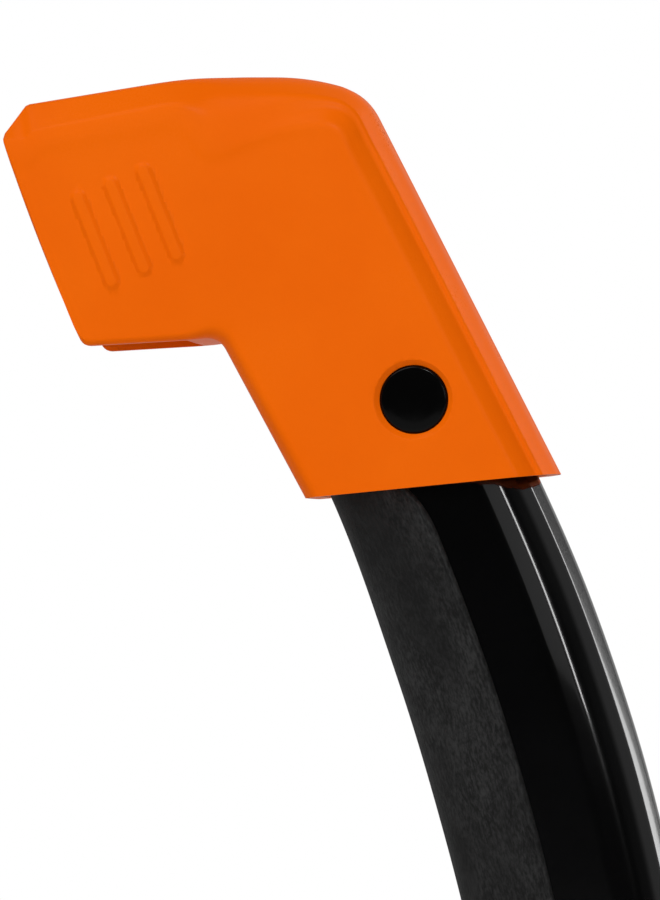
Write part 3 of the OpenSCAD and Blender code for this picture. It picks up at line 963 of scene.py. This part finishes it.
# piece, CAD node, size of its broken edges in mm, body
edged = (
    ("headForging", "head_body", 0.9, "tool"),
    ("hammerForging", "hammer", 0.7, "tool"),
    ("pickBlade", "pick", 0.35, "tool"),
    ("pickWeights", "pick_weights", 0.6, "tool"),
    ("headBolts", "head_bolts", 0.3, "tool"),
    ("headNuts", "head_nuts", 0.35, "tool"),
    ("boltWashers", "bolt_washers", 0.15, "tool"),
    ("weightScrews", "weight_screws", 0.2, "tool"),
    ("weightNuts", "weight_nuts", 0.2, "tool"),
    ("headRivets", "head_rivets", 0, "tool"),
    ("headGasket", "head_gasket", 0.5, "tool"),
    ("restBody", "rest_body", 0.7, "finger_rest"),
    ("restLiner", "rest_liner", 0.15, "finger_rest"),
    ("clampShoe", "clamp_shoe", 0.25, "finger_rest"),
    ("leverPin", "lever_pin", 0.3, "finger_rest"),
    ("pinClip", "pin_clip", 0.12, "finger_rest"),
    ("camLever", "cam_lever", 0.6, "lever"),
)
for name, node, width, body in edged:
    brokenEdges(name, node, width, body)

# the button's folded leaf spring, as a copy with broken edges and a mesh of its own
low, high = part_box("button_spring")
leafSpring = brokenEdges("leafSpring", "button_spring", 0.1)
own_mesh(leafSpring)
print("head, pick, hammer, finger rest and spring made")

# the camera looks almost level at the pommel, from a little behind the tool's side; aim is the place
# that it looks at, from the button's axis
view = {
    "azimuth": 6.0,
    "elevation": -1.0,
    "lens": 200,
    "distance": 0.8,
    "aim": (-0.0146, -0.0077),
    "clip": (0.05, 50),
}
camera = bpy.data.objects.new("camera", bpy.data.cameras.new("camera"))
bpy.context.scene.collection.objects.link(camera)
camera.data.lens = view["lens"]
camera.data.clip_start, camera.data.clip_end = view["clip"]
turn, lift = math.radians(view["azimuth"]), math.radians(view["elevation"])
level = math.cos(lift)
toCamera = np.array([math.sin(turn) * level, -math.cos(turn) * level, math.sin(lift)])
aim = buttonAxis * mm + np.array(view["aim"])
camera.location = np.array([aim[0], 0, aim[1]]) + toCamera * view["distance"]
camera.rotation_mode = "QUATERNION"
camera.rotation_quaternion = Vector(-toCamera).to_track_quat("-Z", "Y")
bpy.context.scene.camera = camera

# a plain pale floor, in metres
floorSize, floorZ = 4, -0.06
corners = [(-1, -1), (1, -1), (1, 1), (-1, 1)]
floorMesh = bpy.data.meshes.new("floor")
floorMesh.from_pydata([(x * floorSize, y * floorSize, floorZ) for x, y in corners], [], [(0, 1, 2, 3)])
floorMesh.materials.append(materialBoard("floorPaint").finish(colour=(0.8, 0.8, 0.8), roughness=0.8))
floor = bpy.data.objects.new("floor", floorMesh)
bpy.context.scene.collection.objects.link(floor)

# the backdrop is white to the camera; matt surfaces see a soft dome, brighter before and behind the
# tool and darker below, and glossy ones see a dark studio that is lighter behind the tool
studio = {
    "below": 0.2,
    "sides": 0.08,
    "front": 1.67,
    "glossFront": 0.004,
    "glossBack": 0.3,
    # where each change starts and ends, on the direction's Z, its unsigned Y and its Y
    "upwards": (-0.7, 0.4),
    "outwards": (0.25, 0.95),
    "backwards": (-0.8, 0.1),
}
world = bpy.data.worlds.new("studio")
bpy.context.scene.world = world
sky = Board(world)
direction = sky.add("ShaderNodeTexCoord", output="Generated")
y, z = (sky.add("ShaderNodeSeparateXYZ", {}, {0: direction}, axis) for axis in (1, 2))
fromBelow = studio["below"] + (1 - studio["below"]) * z.step(*studio["upwards"])
sideGain = studio["front"] - studio["sides"]
fromSides = studio["sides"] + sideGain * y.unsigned().step(*studio["outwards"])
glossGain = studio["glossBack"] - studio["glossFront"]
glossy = studio["glossFront"] + glossGain * y.step(*studio["backwards"])
isReflection = sky.add("ShaderNodeLightPath", output="Is Glossy Ray")
isCamera = sky.add("ShaderNodeLightPath", output="Is Camera Ray")
surround = fromBelow * fromSides * (1 - isReflection) + glossy * isReflection
background = sky.tree.nodes["Background"]
sky.join(background.inputs["Color"], (1, 1, 1, 1))
sky.join(background.inputs["Strength"], surround * (1 - isCamera) + isCamera)
bpy.context.scene.view_settings.view_transform = "Standard"

# the lamps point at the handle, in metres
handlePlace = (0.01, 0, 0.40)
# name, way from the handle, size, watts, whether it lights matt surfaces, whether it is reflected
lamps = (
    ("spineLight", (0.74, 0.60, 0.30), (0.4, 0.7), 6.6, True, False),
    ("edgeLight", (0.76, 0.58, 0.25), (0.12, 1.0), 1.6, False, True),
    ("streakLight", (0.53, -0.82, 0.22), (0.06, 0.22), 0.6, False, True),
    ("facetLight", (0.36, -0.90, 0.19), (0.16, 0.24), 0.06, False, True),
    ("glintLight", (0.18, -0.76, 0.63), (0.14, 0.1), 1.6, False, True),
    ("topLight", (-0.35, -0.45, 0.82), (0.6, 0.6), 3.0, True, True),
)
for name, offset, size, watts, onMatt, onGloss in lamps:
    light = bpy.data.lights.new(name, "AREA")
    light.shape = "RECTANGLE"
    light.size, light.size_y = size
    light.energy = watts
    lamp = bpy.data.objects.new(name, light)
    bpy.context.scene.collection.objects.link(lamp)
    lamp.location = np.array(handlePlace) + np.array(offset)
    lamp.rotation_mode = "QUATERNION"
    lamp.rotation_quaternion = Vector(-np.array(offset)).to_track_quat("-Z", "Y")
    lamp.visible_diffuse = onMatt
    lamp.visible_glossy = onGloss
print("camera, floor and lights set")
